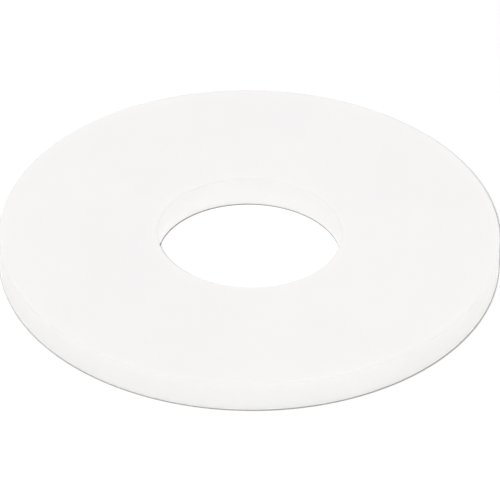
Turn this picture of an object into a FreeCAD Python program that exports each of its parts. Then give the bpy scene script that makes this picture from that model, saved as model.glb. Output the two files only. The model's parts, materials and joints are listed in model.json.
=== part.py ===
import FreeCAD, Part
import os
import Sketcher

# Tank gasket: a flat ring of white silicone rubber, moulded in one piece.
# Millimetres. +Z is up, the ring lies flat, and the origin is the centre of its lower sealing face.

parts_folder = "parts"

# Driving dimensions: name, value in mm, what it measures
driving_dimensions = [
    ("outer_diameter", 62.5, "across the outer wall"),
    ("bore_diameter", 23.0, "across the hole that goes over the valve's stem"),
    ("ring_thickness", 4.1, "between the two flat sealing faces"),
    ("edge_radius", 0.25, "rounding that the mould leaves on the rims of both walls"),
]


def make_sizes_sheet(doc):
    """Put the driving dimensions in a sheet, one row each, with an alias on every value."""
    sheet = doc.addObject("Spreadsheet::Sheet", "Sizes")
    for row, (name, value, meaning) in enumerate(driving_dimensions, start=1):
        sheet.set(f"A{row}", name)
        sheet.set(f"B{row}", str(value))
        sheet.set(f"C{row}", meaning)
        sheet.setAlias(f"B{row}", name)
    doc.recompute()
    return sheet


def origin_plane(body, role):
    """Return one of the body's own origin planes, such as XY_Plane."""
    for feature in body.Origin.OriginFeatures:
        if feature.Role == role:
            return feature
    raise LookupError(f"{body.Name} has no {role}")


def add_bound_circle(sketch, sheet, diameter_name):
    """Draw a circle about the sketch's origin, its diameter tied to one size in the sheet."""
    diameter = sheet.get(diameter_name)
    circle = sketch.addGeometry(
        Part.Circle(FreeCAD.Vector(0, 0, 0), FreeCAD.Vector(0, 0, 1), diameter / 2)
    )
    # Point 3 of a circle is its centre, and point 1 of element -1 is the sketch's origin
    sketch.addConstraint(Sketcher.Constraint("Coincident", circle, 3, -1, 1))
    constraint = sketch.addConstraint(Sketcher.Constraint("Diameter", circle, diameter))
    sketch.renameConstraint(constraint, diameter_name)
    sketch.setExpression(f"Constraints.{diameter_name}", f"{sheet.Name}.{diameter_name}")


def rim_names(shape):
    """Name the full-circle edges where the flat faces meet the two walls."""
    return [
        f"Edge{number}"
        for number, edge in enumerate(shape.Edges, start=1)
        if isinstance(edge.Curve, Part.Circle)
    ]


def make_gasket(doc, sheet):
    """Model the ring: its plan padded to its thickness, then every rim rounded."""
    body = doc.addObject("PartDesign::Body", "Gasket")
    body.Label = "gasket"

    # Plan of the ring, on the plane of its lower sealing face
    plan = body.newObject("Sketcher::SketchObject", "RingPlan")
    plan.AttachmentSupport = (origin_plane(body, "XY_Plane"), [""])
    plan.MapMode = "FlatFace"
    add_bound_circle(plan, sheet, "outer_diameter")
    add_bound_circle(plan, sheet, "bore_diameter")

    # Square-cut ring, up to its upper sealing face
    ring = body.newObject("PartDesign::Pad", "Ring")
    ring.Profile = plan
    ring.setExpression("Length", f"{sheet.Name}.ring_thickness")
    plan.Visibility = False
    doc.recompute()

    # Small rounding at the rims of the outer wall and of the bore
    rims = body.newObject("PartDesign::Fillet", "RoundedRims")
    rims.Base = (ring, rim_names(ring.Shape))
    rims.setExpression("Radius", f"{sheet.Name}.edge_radius")
    body.Tip = rims

    body.Placement = FreeCAD.Placement()
    return body


def check_document(doc, bodies):
    """Stop before anything is written if a feature failed or a solid isn't sound."""
    for item in doc.Objects:
        if "Invalid" in item.State or "Error" in item.State:
            raise RuntimeError(f"{item.Name} did not compute: {item.State}")
    for body in bodies:
        if body.Shape.isNull() or not body.Shape.isValid() or len(body.Shape.Solids) != 1:
            raise RuntimeError(f"{body.Label} is not one sound solid")


def write_parts(bodies):
    """Write each sub-part to its own file, named by its label."""
    os.makedirs(parts_folder, exist_ok=True)
    for body in bodies:
        body.Shape.exportStep(f"{parts_folder}/{body.Label}.step")
        box = body.Shape.optimalBoundingBox(False, False)
        print(
            f"{body.Label}: {box.XLength:.2f} x {box.YLength:.2f} x {box.ZLength:.2f} mm, "
            f"volume {body.Shape.Volume:.1f} mm3, {len(body.Shape.Faces)} faces"
        )


doc = FreeCAD.newDocument("TankGasket")
sizes = make_sizes_sheet(doc)
bodies = [make_gasket(doc, sizes)]
doc.recompute()
check_document(doc, bodies)
write_parts(bodies)
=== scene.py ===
import json
import math

import bmesh
import bpy
from mathutils import Matrix, Vector


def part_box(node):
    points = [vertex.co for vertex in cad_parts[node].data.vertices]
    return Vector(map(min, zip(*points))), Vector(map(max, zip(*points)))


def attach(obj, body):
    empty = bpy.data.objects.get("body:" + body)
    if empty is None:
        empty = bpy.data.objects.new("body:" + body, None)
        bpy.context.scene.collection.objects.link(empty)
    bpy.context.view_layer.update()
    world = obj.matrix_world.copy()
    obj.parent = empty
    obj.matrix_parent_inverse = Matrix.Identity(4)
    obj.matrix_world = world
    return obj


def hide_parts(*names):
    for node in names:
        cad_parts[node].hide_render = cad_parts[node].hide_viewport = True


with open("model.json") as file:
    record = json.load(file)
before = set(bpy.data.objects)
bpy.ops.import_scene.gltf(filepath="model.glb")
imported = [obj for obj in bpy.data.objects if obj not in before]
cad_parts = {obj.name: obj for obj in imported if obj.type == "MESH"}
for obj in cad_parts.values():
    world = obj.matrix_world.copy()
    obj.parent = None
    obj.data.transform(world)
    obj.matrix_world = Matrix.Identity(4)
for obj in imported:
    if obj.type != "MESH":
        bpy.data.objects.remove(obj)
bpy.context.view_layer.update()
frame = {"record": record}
scene = bpy.context.scene
mm = 0.001


# Sizes read from the frame
gasketLow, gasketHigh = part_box("gasket")
boreMount = next(mount for mount in frame["record"]["mounts"] if mount["name"] == "bore")
thickness = gasketHigh.z - gasketLow.z
outerRadius = gasketHigh.x
boreRadius = boreMount["dims"]["r_mm"] * mm
# the mount is as long as the bore's straight wall, and the rims take up the rest
rimRadius = (thickness - boreMount["dims"]["length_mm"] * mm) / 2
print(f"ring: outside {outerRadius / mm:.2f}, bore {boreRadius / mm:.2f}, "
      f"thick {thickness / mm:.2f}, rims {rimRadius / mm:.2f} mm")


# The ring, one moulding: its section spun round the axis of the bore

ringSettings = {
    "stepsRound": 360,
    "rimSegments": 7,          # facets across each rounded rim
    "longRun": 4 * rimRadius,  # straight runs longer than this are divided
    "faceCuts": 15,            # along the two sealing faces
    "wallCuts": 5,             # up the outer wall and the bore's wall
    "mergeDistance": rimRadius / 100,
}


def ringSection(bm):
    # a rectangle across one side of the ring, its corners rounded like the rims
    corners = [
        bm.verts.new((x, 0, z))
        for x, z in (
            (boreRadius, 0),
            (outerRadius, 0),
            (outerRadius, thickness),
            (boreRadius, thickness),
        )
    ]
    for corner, nextCorner in zip(corners, corners[1:] + corners[:1]):
        bm.edges.new((corner, nextCorner))
    bmesh.ops.bevel(
        bm, geom=corners, offset=rimRadius, offset_type="OFFSET",
        affect="VERTICES", segments=ringSettings["rimSegments"], profile=0.5, material=-1,
    )
    # the long straight runs get a few more steps
    for edge in list(bm.edges):
        if edge.calc_length() > ringSettings["longRun"]:
            level = abs(edge.verts[0].co.z - edge.verts[1].co.z) < rimRadius
            cuts = ringSettings["faceCuts" if level else "wallCuts"]
            bmesh.ops.subdivide_edges(bm, edges=[edge], cuts=cuts)


def makeRing():
    bm = bmesh.new()
    ringSection(bm)
    bmesh.ops.spin(
        bm, geom=bm.verts[:] + bm.edges[:], cent=(0, 0, 0), axis=(0, 0, 1), dvec=(0, 0, 0),
        angle=math.tau, steps=ringSettings["stepsRound"], use_merge=True, use_duplicate=False,
    )
    bmesh.ops.remove_doubles(bm, verts=bm.verts, dist=ringSettings["mergeDistance"])
    bmesh.ops.recalc_face_normals(bm, faces=bm.faces)
    for face in bm.faces:
        face.smooth = True
    mesh = bpy.data.meshes.new("sealingRing")
    bm.to_mesh(mesh)
    bm.free()
    ring = bpy.data.objects.new("sealingRing", mesh)
    scene.collection.objects.link(ring)
    print(f"sealing ring: {len(mesh.polygons)} faces")
    return ring


# What both materials are put together from

def startMaterial(name):
    # a material with its shader, and the place of each point in the object
    material = bpy.data.materials.new(name)
    material.use_nodes = True
    nodes, links = material.node_tree.nodes, material.node_tree.links
    place = nodes.new("ShaderNodeTexCoord").outputs["Object"]
    return material, nodes, links, nodes["Principled BSDF"], place


def addRange(nodes, links, value, fromRange, toRange, blend="SMOOTHSTEP"):
    # a value that runs over fromRange comes out over toRange
    remap = nodes.new("ShaderNodeMapRange")
    remap.interpolation_type = blend
    for side, (low, high) in (("From", fromRange), ("To", toRange)):
        remap.inputs[f"{side} Min"].default_value = low
        remap.inputs[f"{side} Max"].default_value = high
    links.new(value, remap.inputs["Value"])
    return remap.outputs["Result"]


def addMix(nodes, links, factor, first, second):
    # first and second are colours or sockets
    mix = nodes.new("ShaderNodeMix")
    mix.data_type = "RGBA"
    links.new(factor, mix.inputs["Factor"])
    for color, socket in ((first, mix.inputs["A"]), (second, mix.inputs["B"])):
        if isinstance(color, tuple):
            socket.default_value = color
        else:
            links.new(color, socket)
    return mix.outputs["Result"]


# White silicone rubber with the matte skin that the mould leaves on it

siliconeSettings = {
    "warmWhite": (0.934, 0.915, 0.905, 1),
    "clearWhite": (0.920, 0.906, 0.902, 1),
    # soft drift between the two whites over the ring; a spread is the part of a noise that counts
    "clouds": {"size": 12 * mm, "detail": 2, "spread": (0.35, 0.65)},
    # where the skin is a little shinier or duller
    "patches": {"size": 1.6 * mm, "detail": 3, "spread": (0.3, 0.7)},
    "roughness": (0.52, 0.66),
    # slow unevenness of soft rubber
    "ripple": {"size": 6 * mm, "detail": 1, "height": 0.02 * mm},
    # fine grain of the mould's surface
    "grain": {"size": 0.22 * mm, "detail": 2, "height": 0.004 * mm},
    # some of the light goes into the rubber, and comes out again close by
    "subsurface": 0.3,
    "subsurfaceRadius": (1.0, 0.9, 0.8),
    "subsurfaceScale": 1.2 * mm,
    "ior": 1.43,
}


def addNoise(nodes, links, vector, pattern):
    noise = nodes.new("ShaderNodeTexNoise")
    noise.inputs["Scale"].default_value = 1 / pattern["size"]
    noise.inputs["Detail"].default_value = pattern["detail"]
    links.new(vector, noise.inputs["Vector"])
    return noise.outputs["Fac"]


def addBump(nodes, links, vector, pattern, normal=None):
    bump = nodes.new("ShaderNodeBump")
    bump.inputs["Distance"].default_value = pattern["height"]
    links.new(addNoise(nodes, links, vector, pattern), bump.inputs["Height"])
    if normal is not None:
        links.new(normal, bump.inputs["Normal"])
    return bump.outputs["Normal"]


def makeSilicone():
    values = siliconeSettings
    material, nodes, links, shader, place = startMaterial("whiteSilicone")

    clouds = addNoise(nodes, links, place, values["clouds"])
    warmth = addRange(nodes, links, clouds, values["clouds"]["spread"], (0, 1))
    tint = addMix(nodes, links, warmth, values["clearWhite"], values["warmWhite"])
    links.new(tint, shader.inputs["Base Color"])

    patches = addNoise(nodes, links, place, values["patches"])
    skin = addRange(nodes, links, patches, values["patches"]["spread"], values["roughness"], "LINEAR")
    links.new(skin, shader.inputs["Roughness"])

    normal = addBump(nodes, links, place, values["ripple"])
    normal = addBump(nodes, links, place, values["grain"], normal)
    links.new(normal, shader.inputs["Normal"])

    shader.inputs["IOR"].default_value = values["ior"]
    shader.inputs["Subsurface Weight"].default_value = values["subsurface"]
    shader.inputs["Subsurface Radius"].default_value = values["subsurfaceRadius"]
    shader.inputs["Subsurface Scale"].default_value = values["subsurfaceScale"]
    print(f"silicone: {len(nodes)} nodes")
    return material


# The stage stands round the ring. Angles are in degrees, and azimuths count from +X round to +Y

def directionOf(azimuth, elevation):
    turn, rise = math.radians(azimuth), math.radians(elevation)
    return Vector((math.cos(turn) * math.cos(rise), math.sin(turn) * math.cos(rise), math.sin(rise)))


# A white floor, with a contact shadow painted dark under the ring and just past its walls, where no
# light gets in

floorSettings = {
    "radius": 3.0,
    "segments": 96,
    "drop": 0.005 * mm,        # just clear of the ring's lower face
    # the floor's own colours; both whites are lit up to pure white in the picture
    "white": (0.515, 0.515, 0.515, 1),
    "frontWhite": (0.476, 0.476, 0.476, 1),  # in front of the ring, where the lens lamps are nearer
    # the colour of the painted shade, a contact shadow painted on the floor
    "shade": (0.17, 0.172, 0.155, 1),        # under the ring
    "roughness": 0.9,
    # a faint light of the floor's own, added to what the lamps give
    "glowColor": (1, 1, 1, 1),
    "glow": 0.05,
    "holeGlow": 0.19,          # inside the bore, where less of the room's light falls
    # the painted shade reaches this far past the walls, and leans a little to one side, as a shadow
    # falls away from the light
    "outerReach": 0.02 * mm,
    "boreReach": 0.02 * mm,
    "shadeSoftness": 0.15 * mm,
    "shadeLean": 0.05 * mm,
    "shadeTowards": 350,
}


def addStep(nodes, links, value, edge, inside, outside):
    # one value inside the edge and another outside, with a soft passage between
    softness = floorSettings["shadeSoftness"]
    return addRange(nodes, links, value, (edge - softness, edge + softness), (inside, outside))


def addPlan(nodes, links, place):
    # the place seen from above and moved by the shade's lean: its radius, and its part along Y
    mapping = nodes.new("ShaderNodeMapping")
    lean = directionOf(floorSettings["shadeTowards"], 0) * floorSettings["shadeLean"]
    mapping.inputs["Location"].default_value = -lean
    mapping.inputs["Scale"].default_value = (1, 1, 0)
    links.new(place, mapping.inputs["Vector"])
    reach = nodes.new("ShaderNodeVectorMath")
    reach.operation = "LENGTH"
    links.new(mapping.outputs["Vector"], reach.inputs[0])
    split = nodes.new("ShaderNodeSeparateXYZ")
    links.new(mapping.outputs["Vector"], split.inputs["Vector"])
    return reach.outputs["Value"], split.outputs["Y"]


def addPaintedShadeMask(nodes, links, radius):
    # the mask of the painted shade: 1 under the ring and just past its walls, 0 everywhere else
    pastBore = addStep(nodes, links, radius, boreRadius - floorSettings["boreReach"], 0, 1)
    insideWall = addStep(nodes, links, radius, outerRadius + floorSettings["outerReach"], 1, 0)
    under = nodes.new("ShaderNodeMath")
    under.operation = "MULTIPLY"
    links.new(pastBore, under.inputs[0])
    links.new(insideWall, under.inputs[1])
    return under.outputs["Value"]


def makeFloorWhite():
    values = floorSettings
    material, nodes, links, shader, place = startMaterial("floorWhite")
    radius, alongY = addPlan(nodes, links, place)
    under = addPaintedShadeMask(nodes, links, radius)

    forward = addRange(nodes, links, alongY, (outerRadius, -outerRadius), (0, 1))
    white = addMix(nodes, links, forward, values["white"], values["frontWhite"])
    # painted shade: the floor's colour turns dark under the ring
    floorColor = addMix(nodes, links, under, white, values["shade"])
    links.new(floorColor, shader.inputs["Base Color"])

    # the painted shade dims the floor's own glow under the ring too
    glowColor = addMix(nodes, links, under, values["glowColor"], values["shade"])
    links.new(glowColor, shader.inputs["Emission Color"])
    glow = addStep(nodes, links, radius, boreRadius, values["holeGlow"], values["glow"])
    links.new(glow, shader.inputs["Emission Strength"])

    shader.inputs["Roughness"].default_value = values["roughness"]
    shader.inputs["Specular IOR Level"].default_value = 0.0  # no gloss at all
    return material


def makeFloor():
    values = floorSettings
    bm = bmesh.new()
    bmesh.ops.create_circle(bm, cap_ends=True, segments=values["segments"], radius=values["radius"])
    bmesh.ops.translate(bm, verts=bm.verts, vec=(0, 0, -values["drop"]))
    mesh = bpy.data.meshes.new("floor")
    bm.to_mesh(mesh)
    bm.free()
    floor = bpy.data.objects.new("floor", mesh)
    scene.collection.objects.link(floor)
    mesh.materials.append(makeFloorWhite())
    print(f"floor: {values['radius']:.1f} m round the ring")
    return floor


# A pale room

roomSettings = {"white": (1, 1, 1, 1), "strength": 0.7}


def makeRoom():
    world = bpy.data.worlds.new("paleRoom")
    world.use_nodes = True
    background = world.node_tree.nodes["Background"]
    background.inputs["Color"].default_value = roomSettings["white"]
    background.inputs["Strength"].default_value = roomSettings["strength"]
    scene.world = world
    print(f"room: strength {roomSettings['strength']}")


# A circle of soft lamps above the floor, a little stronger on the camera's side

lampSettings = {
    "count": 8,
    "elevation": 47,
    "distance": 0.8,
    "size": 0.5,
    "power": 0.356,
    "frontShare": 0.04,        # how much stronger the front lamp is, and how much weaker the back one
    "frontAzimuth": 275,
}


def makeLamp(name, size, power):
    # a round lamp that shines down its own Z axis
    lamp = bpy.data.lights.new(name, "AREA")
    lamp.shape = "DISK"
    lamp.size = size
    lamp.energy = power
    light = bpy.data.objects.new(name, lamp)
    scene.collection.objects.link(light)
    return light


def makeSoftLamps():
    values = lampSettings
    for number in range(values["count"]):
        fromFront = 360 * number / values["count"]
        power = values["power"] * (1 + values["frontShare"] * math.cos(math.radians(fromFront)))
        light = makeLamp("softLamp", values["size"], power)
        towards = directionOf(values["frontAzimuth"] + fromFront, values["elevation"])
        light.location = towards * values["distance"]
        light.rotation_euler = towards.to_track_quat("Z", "Y").to_euler()
    print(f"soft lamps: {values['count']} round the ring")


# Small lamps near the line from the lens to the ring, placed from the lens; they light the floor
# alone, and being to the left of that line, they throw a narrow shadow that shows past the ring's
# right side and past the near rim of its hole

lensLampSettings = {
    "farLamp": {
        "left": 42 * mm,
        "above": 10 * mm,
        "behind": 340 * mm,
        "size": 15 * mm,
        "power": 12.0,
    },
    "nearLamp": {
        "left": 9.5 * mm,
        "above": -1 * mm,
        "behind": -200 * mm,   # so it hangs in front of the lens
        "size": 6 * mm,
        "power": 1.5,
    },
}


def makeLensLamps(camera, floor):
    lit = bpy.data.collections.new("litByLensLamps")
    lit.objects.link(floor)
    for name, values in lensLampSettings.items():
        light = makeLamp(name, values["size"], values["power"])
        place = (-values["left"], values["above"], values["behind"])
        light.matrix_world = camera.matrix_world @ Matrix.Translation(place)
        light.visible_camera = False
        light.light_linking.receiver_collection = lit
    print(f"lens lamps: {len(lensLampSettings)}, on the floor alone")


# The camera of the photograph

cameraSettings = {
    "azimuth": -90,
    "elevation": 36.01,
    "distance": 687.5 * mm,    # from the lens to the middle of the ring
    "focalPixels": 5499.0,     # focal length counted in pixels of the 500 px wide picture
    "pictureWidth": 500.0,
    "ringCentre": (248.65, 244.8),  # where the middle of the ring lies in the picture
    "roll": 0.63,              # the ring's right side lies lower in the picture
    "sensorWidth": 36.0,       # millimetres, as Blender takes it
    "clipStart": 0.01,
    "clipEnd": 20.0,
}


def makeCamera():
    values = cameraSettings
    middle = Vector((0, 0, thickness / 2))
    back = directionOf(values["azimuth"], values["elevation"])
    right = directionOf(values["azimuth"] + 90, 0)
    up = back.cross(right)
    # aim so that the ring's middle falls on its own pixel
    half = values["pictureWidth"] / 2
    offRight = (values["ringCentre"][0] - half) / values["focalPixels"] * values["distance"]
    offUp = (half - values["ringCentre"][1]) / values["focalPixels"] * values["distance"]
    place = middle + back * values["distance"]
    aim = middle - right * offRight - up * offUp
    away = (place - aim).normalized()
    data = bpy.data.cameras.new("camera")
    data.sensor_fit = "HORIZONTAL"
    data.sensor_width = values["sensorWidth"]
    data.lens = values["focalPixels"] / values["pictureWidth"] * values["sensorWidth"]
    data.clip_start = values["clipStart"]
    data.clip_end = values["clipEnd"]
    camera = bpy.data.objects.new("camera", data)
    scene.collection.objects.link(camera)
    turn = Matrix((right, away.cross(right), away)).transposed().to_4x4()
    roll = Matrix.Rotation(math.radians(values["roll"]), 4, "Z")
    camera.matrix_world = Matrix.Translation(place) @ turn @ roll
    scene.camera = camera
    print(f"camera: {values['distance'] / mm:.0f} mm away, lens {data.lens:.0f} mm")
    return camera


scene.view_settings.view_transform = "Standard"  # so that the lit floor comes out pure white

silicone = makeSilicone()
sealingRing = makeRing()
sealingRing.data.materials.append(silicone)
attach(sealingRing, "root")
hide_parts("gasket")

floor = makeFloor()
makeRoom()
makeSoftLamps()
makeLensLamps(makeCamera(), floor)
